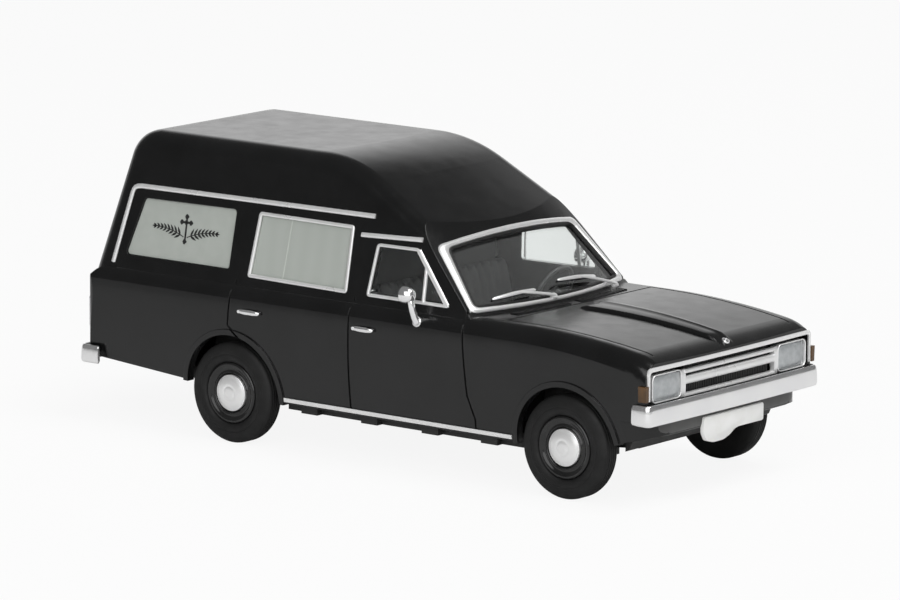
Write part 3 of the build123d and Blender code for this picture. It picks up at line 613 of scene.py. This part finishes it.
wiper_table = [  # pivot, elbow and blade ends, each across and up the screen
    ((-1.14, -0.02), (-4.4, 0.98), (-2.5, 0.86), (-6.88, 1.12)),
    ((6.9, 0.10), (2.9, 1.08), (5.05, 1.0), (0.33, 1.18)),
]
arm_rows = [(0, 0.30), (0.15, 0.36), (0.5, 0.38), (0.85, 0.36), (1, 0.32)]
arm_sizes = [0.13, 0.13, 0.12, 0.11, 0.10]
blade_rows = [(0, 0.20), (0.04, 0.25), (0.3, 0.28), (0.5, 0.31), (0.7, 0.28), (0.96, 0.25), (1, 0.20)]
blade_sizes = [0.05, 0.12, 0.15, 0.16, 0.15, 0.12, 0.05]
lip_rows = [(share, 0.05) for share in (0.01, 0.25, 0.5, 0.75, 0.99)]
bright_bars, lips = [], []
for pivot, elbow, near_end, tip in wiper_table:
    bright_bars.append(lathe([(-0.15, 0.27), (0.2, 0.27), (0.28, 0.22), (0.3, 0.02)],
                             on_screen(*pivot, 0.05), screen_out, 24))
    bright_bars.append(rod(screen_way(pivot, elbow, arm_rows), arm_sizes, 10, 0.7, screen_out))
    bright_bars.append(rod(screen_way(near_end, tip, blade_rows), blade_sizes, 10, 0.45, screen_out))
    lips.append(rod(screen_way(near_end, tip, lip_rows), [0.06] * 5, 8, 3.0, screen_out))
put_piece("wiper_arms", bright_bars, "model", silver_foil, ("wipers",))
put_piece("wiper_lips", lips, "model", rubber_black)

# The door handles are small plated pulls, two on each side, that stand on the door skin on two short feet.
# Each has a round push button at its rear end.
def flank_y(z):
    """The lower body's half width at a height above its widest line."""
    bend = 8.574
    return 10.1 - bend + sqrt(bend ** 2 - max(z - 9.8, 0.0) ** 2)


handle_table = [(-11.1, -9.0, 10.05), (-0.35, 1.65, 10.1)]  # rear end, front end, height
grip_sizes = [0.06, 0.15, 0.19, 0.19, 0.14, 0.05]
for side_name, side in (("left", 1), ("right", -1)):
    pulls = []
    for start, end, z in handle_table:
        y = side * flank_y(z)
        sunk_y = y - side * 0.05
        grip = [(start + 0.02, 0.22), (start + 0.12, 0.26), (start + 0.7, 0.28), (end - 0.6, 0.28),
                (end - 0.12, 0.25), (end - 0.02, 0.21)]
        pulls.append(rod([(x, y + side * lift, z) for x, lift in grip], grip_sizes, 14, 0.5, (0, side, 0)))
        for foot_x in (start + 0.25, end - 0.28):
            foot_edge = round_box(0.34, 0.26, 0.12, 4)
            pulls.append(slab(foot_edge, (foot_x, sunk_y, z), (1, 0, 0), (0, 0, -side), 0.28, 0.05))
        pulls.append(lathe([(0.0, 0.15), (0.36, 0.15), (0.40, 0.12), (0.41, 0.02)], (start + 0.24, sunk_y, z),
                           (0, side, 0), 20))
    put_piece(f"door_pulls_{side_name}", pulls, "model", chrome, (f"door_handles_{side_name}",))

# The door mirrors are plated mouldings: a round head with a flat glass at its back, on a bent stem with a
# round foot that is glued to the door.
mirror_glass, nodes, links, shader = new_finish("mirror_glass")
shader.inputs["Metallic"].default_value = 1.0
tint(nodes, links, shader, speckle(nodes, links, 700.0, 2.0, 0.0, 1.0), (0.62, 0.65, 0.66), (0.7, 0.73, 0.74))
shader.inputs["Roughness"].default_value = 0.05
mirror_head_rows = [(-0.44, 0.52), (-0.46, 0.58), (-0.42, 0.62), (-0.24, 0.63), (0.0, 0.61), (0.2, 0.54),
                    (0.38, 0.42), (0.5, 0.26), (0.55, 0.02)]
for side_name, side in (("left", 1), ("right", -1)):
    head = Vector((5.0, side * 10.42, 13.15))
    foot = Vector((5.4, side * (flank_y(11.2) - 0.06), 11.2))
    neck = head + Vector((0.25, 0, -0.5))
    mirror = [lathe(mirror_head_rows, head, (1, 0, 0), 32)]
    stem = [foot, foot.lerp(neck, 0.25) + Vector((0, side * 0.09, 0)),
            foot.lerp(neck, 0.6) + Vector((0, side * 0.1, 0)), neck, neck + Vector((-0.05, 0, 0.3))]
    mirror.append(rod(stem, [0.3, 0.27, 0.25, 0.24, 0.16], 16, 1.0, (1, 0, 0)))
    mirror.append(lathe([(-0.1, 0.4), (0.05, 0.4), (0.11, 0.34), (0.13, 0.02)], foot, (0, side, 0.15), 24))
    put_piece(f"door_mirror_{side_name}", mirror, "model", chrome, (f"mirror_{side_name}",))
    glass = lathe([(-0.4, 0.52), (-0.435, 0.52), (-0.44, 0.02)], head, (1, 0, 0), 32)
    put_piece(f"mirror_glass_{side_name}", [glass], "model", mirror_glass)

# The bumpers are bright plated bars with a rounded face, bent round the corners of the body and pegged to
# it from behind.
def nose_x(y):
    """The front of the body at a distance from its middle."""
    return 26.05 - 0.25 * (y / 11.615) ** 2


def tail_x(y):
    """The back of the body at a distance from its middle."""
    return -26.35 + 0.5 * (y / 11.615) ** 2


def bumper_bar(inner_x, end_x, low, high, facing):
    """A bar with a bulged face round one end of the body."""
    corner, half, bow = 0.5, 10.4, 0.12
    turn_x = end_x - bow - corner
    way = [(inner_x, -half), (inner_x + 0.08, -half), (0.5 * (inner_x + turn_x), -half)]
    for k in range(9):
        turn = radians(-90 + 90 * k / 8)
        way.append((turn_x + corner * cos(turn), -half + corner + corner * sin(turn)))
    for k in range(1, 24):
        y = (half - corner) * (k / 12 - 1)
        way.append((end_x - bow * (y / (half - corner)) ** 2, y))
    way += [(x, -y) for x, y in reversed(way[:12])]
    tall = high - low
    face = [  # depth behind the front, share of the height
        (-0.34, 0.08), (-0.26, 0.01), (-0.12, 0.0), (-0.05, 0.03), (-0.015, 0.10), (0.0, 0.2), (-0.002, 0.38),
        (-0.014, 0.56), (-0.038, 0.74), (-0.07, 0.88), (-0.11, 0.95), (-0.17, 0.99), (-0.26, 1.0),
        (-0.34, 0.96)]
    rings = []
    for k, (x, y) in enumerate(way):
        (a, b), (c, d) = way[max(k - 1, 0)], way[min(k + 1, len(way) - 1)]
        out = Vector((d - b, a - c)).normalized()
        depth = 0.27 + 0.07 * max(0.0, out.x)
        small = 0.72 if k in (0, len(way) - 1) else 1.0
        ring = []
        for move, share in face:
            move = max(move * small - 0.06 * (1 - small), -depth)
            z = low + tall * (0.5 + (share - 0.5) * (0.85 if small < 1 else 1.0))
            ring.append((facing * (x + out.x * move), facing * (y + out.y * move), z))
        rings.append(ring)
    return skin(rings)


front_bar = bumper_bar(inner_x=24.9, end_x=26.6, low=6.2, high=7.72, facing=1)
put_piece("front_bumper_bar", [front_bar], "model", chrome, ("front_bumper",), 60.0)
rear_bar = bumper_bar(inner_x=24.6, end_x=26.6, low=4.4, high=5.75, facing=-1)
put_piece("rear_bumper_bar", [rear_bar], "model", chrome, ("rear_bumper",), 60.0)

# Under the front bumper the floor pan's apron turns up over the nose. It is a thin matt lip that follows the
# shell and sinks into it at both ends. Its dark grey, lighter than the black floor pan, is painted reflected
# light.
apron_painted_reflection, nodes, links, shader = new_finish("apron_painted_reflection")
scuff = speckle(nodes, links, 500.0, 4.0, 0.0, 1.0)
# Painted reflection: a grey base lighter than the black floor pan stands in for light reflected off the lip.
tint(nodes, links, shader, scuff, (0.06, 0.06, 0.059), (0.08, 0.08, 0.078))
gloss(nodes, links, shader, 700.0, 3.0, 0.35, 0.48)
relief(nodes, links, shader, scuff, 0.1, 0.02)
apron_half, apron_fade, apron_z = 8.9, 1.5, 5.8
apron_rows = [  # height, distance out of the shell
    (6.3, 0.0), (6.27, 0.06), (6.0, 0.08), (5.7, 0.08), (5.45, 0.05), (5.3, 0.0), (5.2, -0.08), (5.13, -0.2),
    (5.13, -0.5), (6.3, -0.5)]
apron = []
for k in range(41):
    y = apron_half * (k / 20 - 1)
    ahead = Vector((40.0, y, apron_z)) * mm
    face_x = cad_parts["body_shell"].ray_cast(ahead, Vector((-1, 0, 0)))[1].x / mm
    sunk = 0.14 * max(0.0, abs(y) - (apron_half - apron_fade)) / apron_fade
    apron.append([(face_x + out - sunk, y, z) for z, out in apron_rows])
put_piece("front_apron", [skin(apron)], "model", apron_painted_reflection)

# The grille is a foil-stamped frame with three bars over a row of dark upright slats, all moulded in the nose
# of the shell.
grille_dark, nodes, links, shader = new_finish("grille_dark")
soot = speckle(nodes, links, 1200.0, 3.0, 0.0, 1.0)
tint(nodes, links, shader, soot, (0.01, 0.01, 0.01), (0.02, 0.02, 0.02))
gloss(nodes, links, shader, 900.0, 3.0, 0.3, 0.45)
slats = []
for k in range(-24, 25):
    y = 0.21 * k
    slat_foot = (nose_x(y) - 0.75, y, 8.8)
    slats.append(slab(round_box(0.09, 2.2, 0.03, 2), slat_foot, (0, 1, 0), (0, 0, 1), 0.3, 0.03))
put_piece("grille_slats", slats, "model", grille_dark)


def nose_bar(low, high, y_start, y_end, steps=24):
    """A half-round bar across the nose between two heights."""
    rings = []
    for k in range(steps + 1):
        y = y_start + (y_end - y_start) * k / steps
        ring = [(nose_x(y) - 0.4, y, low), (nose_x(y) - 0.4, y, high)]
        for turn in range(0, 181, 30):
            ring.append((nose_x(y) - 0.12 + 0.1 * sin(radians(turn)), y,
                         0.5 * (low + high) + 0.5 * (high - low) * cos(radians(turn))))
        rings.append(ring)
    return skin(rings)


bar_half, post_y, post_half = 5.5, 5.62, 0.22
bars = [nose_bar(low, high, -bar_half, bar_half) for low, high in [(9.32, 9.62), (8.55, 9.1), (7.62, 7.9)]]
bars += [nose_bar(7.62, 9.64, side * post_y - post_half, side * post_y + post_half, 4) for side in (-1, 1)]
put_piece("grille_bars", bars, "model", silver_foil, ("grille",), 60.0)

# The headlamps are clear mouldings with upright flutes, printed silver behind and pressed into the nose. Each
# has a slim bright bezel.
lamp_lens, nodes, links, shader = new_finish("lamp_lens")
shader.inputs["Metallic"].default_value = 0.35
facets = speckle(nodes, links, 2600.0, 2.0, 0.0, 1.0)
tint(nodes, links, shader, facets, (0.40, 0.42, 0.43), (0.50, 0.52, 0.53))
gloss(nodes, links, shader, 1500.0, 3.0, 0.3, 0.42)
shader.inputs["Coat Weight"].default_value = 0.4
shader.inputs["Coat Roughness"].default_value = 0.1
lamp_y, lamp_z, lamp_wide, lamp_tall = 7.6, 8.72, 3.3, 1.84


def fluted_lens(side):
    """A lens with a rounded outline, a slight dome and upright flutes, and its wall behind."""
    across, up = 56, 20
    points, faces = [], []
    for j in range(up + 1):
        for i in range(across + 1):
            a, b = 2 * i / across - 1, 2 * j / up - 1
            y = side * lamp_y + a * sqrt(1 - 0.2 * b * b) * lamp_wide / 2
            z = lamp_z + b * sqrt(1 - 0.2 * a * a) * lamp_tall / 2
            dome = 0.16 * (1 - a ** 4) * (1 - b ** 4)
            flute = 0.012 * cos(14 * 2 * pi * a) * (1 - a ** 8) * (1 - b ** 8)
            points.append((nose_x(y) - 0.10 + dome + flute, y, z))
    for j in range(up):
        for i in range(across):
            k = j * (across + 1) + i
            faces.append((k, k + 1, k + across + 2, k + across + 1))
    rim = [i for i in range(across + 1)]
    rim += [j * (across + 1) + across for j in range(1, up + 1)]
    rim += [up * (across + 1) + i for i in range(across - 1, -1, -1)]
    rim += [j * (across + 1) for j in range(up - 1, 0, -1)]
    start = len(points)
    points += [(points[k][0] - 0.8, points[k][1], points[k][2]) for k in rim]
    for k in range(len(rim)):
        n = (k + 1) % len(rim)
        faces.append((rim[n], rim[k], start + k, start + n))
    faces.append(tuple(start + k for k in range(len(rim))))
    return points, faces


def ring_frame(outline, wide, origin, u_way, v_way, low, high):
    """A flat frame round an outline, from a low to a high face."""
    u_way, v_way, origin = Vector(u_way), Vector(v_way), Vector(origin)
    out_way = u_way.cross(v_way).normalized()
    rings = []
    section = [(-wide, low), (-wide, high - 0.03), (-0.7 * wide, high), (-0.3 * wide, high), (0, high - 0.03),
               (0, low)]
    for move, lift in section:
        rings.append([origin + u_way * u + v_way * v + out_way * lift for u, v in inset(outline, move)])
    return skin(rings, loop=True)


for side_name, side in (("left", 1), ("right", -1)):
    put_piece(f"headlamp_lens_{side_name}", [fluted_lens(side)], "model", lamp_lens,
              (f"headlamp_{side_name}",), 75.0)
    bezel_edge, bezel_place = round_box(3.32, 1.86, 0.35), (nose_x(lamp_y), side * lamp_y, lamp_z)
    bezel = ring_frame(bezel_edge, 0.09, bezel_place, (0, 1, 0), (0, 0, 1), -0.3, 0.02)
    put_piece(f"headlamp_bezel_{side_name}", [bezel], "model", silver_foil)

# The corner indicators are amber paint on a raised block of each front wing, brushed on by hand and a little
# uneven.
amber_lens, nodes, links, shader = new_finish("amber_lens")
brush = speckle(nodes, links, 1100.0, 4.0, 0.0, 1.0)
tint(nodes, links, shader, brush, (0.06, 0.03, 0.010), (0.115, 0.056, 0.017))
gloss(nodes, links, shader, 700.0, 3.0, 0.2, 0.32)
relief(nodes, links, shader, brush, 0.2, 0.03, 0.08)
dress(amber_lens, "indicator_left", "indicator_right")

# The plates are white print on thin mouldings with eased edges, and blank. The front one hangs under the
# bumper and runs into a rounded tab at one end.
plate_white, nodes, links, shader = new_finish("plate_white")
paint = speckle(nodes, links, 800.0, 4.0, 0.0, 1.0)
tint(nodes, links, shader, paint, (0.82, 0.82, 0.80), (0.88, 0.88, 0.87))
gloss(nodes, links, shader, 900.0, 3.0, 0.32, 0.46)
relief(nodes, links, shader, paint, 0.1, 0.02, 0.06)
dress(plate_white, "rear_plate")
plate_back = 26.0
plate_edge = [(3.72, 5.95), (-3.55, 5.95), (-3.62, 4.8), (-3.25, 4.2), (-2.4, 3.96), (-1.2, 3.97), (-0.4, 4.2),
              (0.2, 4.56), (0.7, 4.66), (3.72, 4.66)]
front_sheet = slab(eased(plate_edge, 0.22), (plate_back, 0, 0), (0, 1, 0), (0, 0, 1), 0.3, 0.07)
put_piece("front_plate_sheet", [front_sheet], "model", plate_white, ("front_plate",))

# The tail lamps are upright red mouldings with an amber top and a clear foot, in bright bezels. Between them
# the tailgate has a bright pull with its lock, and a lamp over the plate.
tail_lens, nodes, links, shader = new_finish("tail_lens")
place = nodes.new("ShaderNodeTexCoord")
split = nodes.new("ShaderNodeSeparateXYZ")
links.new(place.outputs["Object"], split.inputs["Vector"])
rise = nodes.new("ShaderNodeMapRange")
rise.inputs["From Min"].default_value = 6.9 * mm
rise.inputs["From Max"].default_value = 9.3 * mm
links.new(split.outputs["Z"], rise.inputs["Value"])
bands = nodes.new("ShaderNodeValToRGB")
bands.color_ramp.interpolation = "CONSTANT"
bands.color_ramp.elements[0].color = (0.55, 0.53, 0.5, 1)
bands.color_ramp.elements[1].position = 0.26
bands.color_ramp.elements[1].color = (0.32, 0.008, 0.008, 1)
top_band = bands.color_ramp.elements.new(0.7)
top_band.color = (0.42, 0.14, 0.02, 1)
links.new(rise.outputs["Result"], bands.inputs["Fac"])
links.new(bands.outputs["Color"], shader.inputs["Base Color"])
gloss(nodes, links, shader, 900.0, 3.0, 0.12, 0.22)
flutes = nodes.new("ShaderNodeTexWave")
flutes.bands_direction = "Z"
flutes.inputs["Scale"].default_value = 1400.0
links.new(place.outputs["Object"], flutes.inputs["Vector"])
relief(nodes, links, shader, flutes.outputs["Fac"], 0.3, 0.03, 0.05)
dress(tail_lens, "tail_lamp_left", "tail_lamp_right")
tail_lamp_y, tail_lamp_z = 8.55, 8.1
tail_lean = 2 * 0.5 * tail_lamp_y / 11.615 ** 2
tail_bright = []
for side in (1, -1):
    across = (side * tail_lean, -1, 0)
    tail_bright.append(ring_frame(round_box(1.5, 2.36, 0.2), 0.09,
                                  (tail_x(tail_lamp_y) - 0.02, side * tail_lamp_y, tail_lamp_z),
                                  across, (0, 0, 1), -0.02, 0.16))
    for z in (7.53, 8.58):
        divider = (tail_x(tail_lamp_y) - 0.17, side * tail_lamp_y, z)
        tail_bright.append(slab(round_box(1.6, 0.07, 0.03, 2), divider, across, (0, 0, 1), 0.05, 0.02))
pull_z, lock_z = 9.5, 9.05
pull = [(-1.5, 0.02), (-1.35, 0.09), (-0.9, 0.12), (0.9, 0.12), (1.35, 0.09), (1.5, 0.02)]
pull_sizes = [0.1, 0.14, 0.17, 0.17, 0.14, 0.1]
tail_bright.append(rod([(tail_x(y) - out, y, pull_z) for y, out in pull], pull_sizes, 12, 0.6, (-1, 0, 0)))
tail_bright.append(lathe([(-0.05, 0.2), (0.12, 0.2), (0.16, 0.16), (0.13, 0.12), (0.13, 0.02)],
                         (tail_x(0), 0, lock_z), (-1, 0, 0), 20))
put_piece("tail_trim", tail_bright, "model", chrome)
plate_lamp_foot = (tail_x(0) + 0.02, 0, 8.83)
plate_lamp = slab(round_box(1.6, 0.26, 0.1, 4), plate_lamp_foot, (0, -1, 0), (0, 0, 1), 0.24, 0.08)
put_piece("plate_lamp", [plate_lamp], "model", grille_dark)

# The floor pan is a matt black moulding with the axle bearings, clipped in from below. The tailpipe is part
# of it.
chassis_black, nodes, links, shader = new_finish("chassis_black")
dust = speckle(nodes, links, 450.0, 5.0, 0.0, 1.0)
tint(nodes, links, shader, dust, (0.011, 0.011, 0.011), (0.022, 0.022, 0.021))
gloss(nodes, links, shader, 900.0, 3.0, 0.5, 0.66)
relief(nodes, links, shader, dust, 0.25, 0.03, 0.08)
dress(chassis_black, "chassis")
pipe_y = -4.2
pipe_way = [(-23.3, 4.3), (-24.2, 4.22), (-25.0, 4.1), (-25.7, 4.0), (-25.72, 4.0), (-25.5, 4.03)]
pipe = rod([(x, pipe_y, z) for x, z in pipe_way], [0.26, 0.26, 0.26, 0.26, 0.19, 0.19], 18, 1.0, (0, 1, 0))
put_piece("tailpipe", [pipe], "model", chassis_black)

# The interior is one dark grey moulding with the dashboard, a pleated bench and the partition. The steering
# wheel is a thin separate ring with two spokes.
interior_grey, nodes, links, shader = new_finish("interior_grey")
matt = speckle(nodes, links, 700.0, 4.0, 0.0, 1.0)
tint(nodes, links, shader, matt, (0.066, 0.066, 0.067), (0.086, 0.086, 0.087))
gloss(nodes, links, shader, 900.0, 3.0, 0.5, 0.66)
relief(nodes, links, shader, matt, 0.25, 0.03, 0.15)
dress(interior_grey, "interior")


def pleated_pad(corners, half, pleat, depth):
    """A bench pad: a rounded section carried across the car, with a pleat at each step."""
    outline = eased(corners, 0.4, 4)
    middle = sum((Vector(c) for c in outline), Vector((0, 0))) / len(outline)
    rows, count = [], int(2 * half / pleat)
    for k in range(count):
        for step, size in [(0.0, 1.0 - depth), (0.18, 1.0), (0.82, 1.0)]:
            rows.append((-half + (k + step) * pleat, size))
    rows.append((half, 1.0 - depth))
    rings = []
    for y, size in rows:
        sized = [middle + (Vector(c) - middle) * size for c in outline]
        rings.append([(c.x, y, c.y) for c in sized])
    return skin(rings)


bench = [pleated_pad([(4.75, 6.5), (4.5, 7.75), (1.45, 7.5), (1.6, 6.6)], 7.2, 0.9, 0.12),
         pleated_pad([(1.75, 7.3), (0.2, 12.8), (-0.35, 12.9), (0.9, 7.4)], 7.2, 0.9, 0.12)]
put_piece("bench_pads", bench, "model", interior_grey)
wheel_hub = Vector((6.9, 4.2, 11.5))
column_way = Vector((-1.6, 0, 0.6)).normalized()
wheel_right, wheel_up = Vector((0, 1, 0)), Vector((0.6, 0, 1.6)).normalized()
hoop_radius, hoop_thick = 1.94, 0.15
hoop = []
for k in range(48):
    turn = 2 * pi * k / 48
    out = wheel_right * cos(turn) + wheel_up * sin(turn)
    ring = []
    for i in range(10):
        roll = 2 * pi * i / 10
        spot = out * (hoop_radius + hoop_thick * cos(roll)) + column_way * hoop_thick * sin(roll)
        ring.append(wheel_hub + spot)
    hoop.append(ring)
steering = [skin(hoop, loop=True)]
steering.append(lathe([(-1.65, 0.25), (-0.2, 0.25), (-0.12, 0.42), (0.05, 0.42), (0.12, 0.3), (0.14, 0.02)],
                      wheel_hub, column_way, 24))
spoke_rows = [(0.3, -0.04), (1.0, -0.02), (1.9, 0.0)]
for hand in (1, -1):
    spoke = [wheel_hub + wheel_right * hand * far + column_way * rise for far, rise in spoke_rows]
    steering.append(rod(spoke, [0.17, 0.14, 0.11], 10, 0.5, column_way))
put_piece("steering_ring", steering, "model", interior_grey, ("steering_wheel",))

# Each wheelset is a steel wire with two wheels pressed on: a matt black tyre with a ribbed tread, a black
# rim with a stepped dish and a domed hubcap stamped with silver foil.
axle_steel, nodes, links, shader = new_finish("axle_steel")
shader.inputs["Metallic"].default_value = 1.0
wire = speckle(nodes, links, 1800.0, 3.0, 0.0, 1.0)
tint(nodes, links, shader, wire, (0.42, 0.42, 0.42), (0.56, 0.56, 0.56))
gloss(nodes, links, shader, 900.0, 3.0, 0.25, 0.4)
dress(axle_steel, "front_axle", "rear_axle")

tyre_black, nodes, links, shader = new_finish("tyre_black")
wear = speckle(nodes, links, 800.0, 5.0, 0.0, 1.0)
tint(nodes, links, shader, wear, (0.006, 0.006, 0.006), (0.011, 0.011, 0.011))
gloss(nodes, links, shader, 1400.0, 3.0, 0.5, 0.68)
shader.inputs["Specular IOR Level"].default_value = 0.32
relief(nodes, links, shader, wear, 0.2, 0.02, 0.02)

rim_black, nodes, links, shader = new_finish("rim_black")
lacquer = speckle(nodes, links, 900.0, 4.0, 0.0, 1.0)
tint(nodes, links, shader, lacquer, (0.008, 0.008, 0.008), (0.016, 0.016, 0.016))
gloss(nodes, links, shader, 1200.0, 3.0, 0.12, 0.2)
relief(nodes, links, shader, lacquer, 0.1, 0.02, 0.03)

tyre_radius = 3.75
tyre_rows = [  # distance out along the axle, radius
    (8.37, 2.28), (8.32, 2.42), (8.31, 2.80), (8.33, 3.20), (8.42, 3.48), (8.53, 3.64), (8.65, 3.72),
    (8.76, 3.75), (8.79, 3.69), (8.84, 3.69), (8.87, 3.75), (8.99, 3.75), (9.02, 3.69), (9.07, 3.69),
    (9.10, 3.75), (9.22, 3.75), (9.25, 3.69), (9.30, 3.69), (9.33, 3.75), (9.45, 3.75), (9.48, 3.69),
    (9.53, 3.69), (9.56, 3.75), (9.65, 3.74), (9.76, 3.68), (9.86, 3.56), (9.95, 3.36), (10.01, 3.12),
    (10.03, 2.96), (10.01, 2.93), (10.02, 2.86), (10.04, 2.82), (10.03, 2.66), (9.99, 2.50), (9.92, 2.38),
    (9.84, 2.31), (9.78, 2.29)]
rim_rows = [
    (8.35, 2.29), (9.80, 2.29), (9.87, 2.25), (9.93, 2.20), (9.955, 2.13), (9.94, 2.03), (9.89, 1.93),
    (9.83, 1.85), (9.80, 1.76), (9.815, 1.67), (9.87, 1.60), (9.90, 1.55), (9.87, 1.50), (9.77, 1.47),
    (9.69, 1.44), (9.67, 1.36), (9.40, 1.33), (9.40, 0.55), (8.35, 0.55)]
cap_rows = [
    (9.60, 1.32), (9.84, 1.35), (9.90, 1.355), (9.94, 1.33), (9.95, 1.27), (9.97, 1.23), (10.03, 1.10),
    (10.08, 0.92), (10.115, 0.72), (10.13, 0.58), (10.115, 0.53), (10.12, 0.48), (10.145, 0.42),
    (10.16, 0.27), (10.165, 0.03)]
for end, axle_x in (("front", 18.7), ("rear", -12.0)):
    centre = (axle_x, 0, tyre_radius)
    for side_name, side in (("left", 1), ("right", -1)):
        where, body, axle_way = f"{end}_{side_name}", f"{end}_wheelset", (0, side, 0)
        tyre = lathe(tyre_rows, centre, axle_way, 128, loop=True)
        put_piece(f"tyre_ribbed_{where}", [tyre], body, tyre_black, (f"tyre_{where}",), 35.0)
        rim = lathe(rim_rows, centre, axle_way, 96, loop=True)
        put_piece(f"rim_dished_{where}", [rim], body, rim_black, (f"rim_{where}",), 50.0)
        cap = lathe(cap_rows, centre, axle_way, 72)
        put_piece(f"hubcap_domed_{where}", [cap], body, silver_foil, (f"hubcap_{where}",), 50.0)
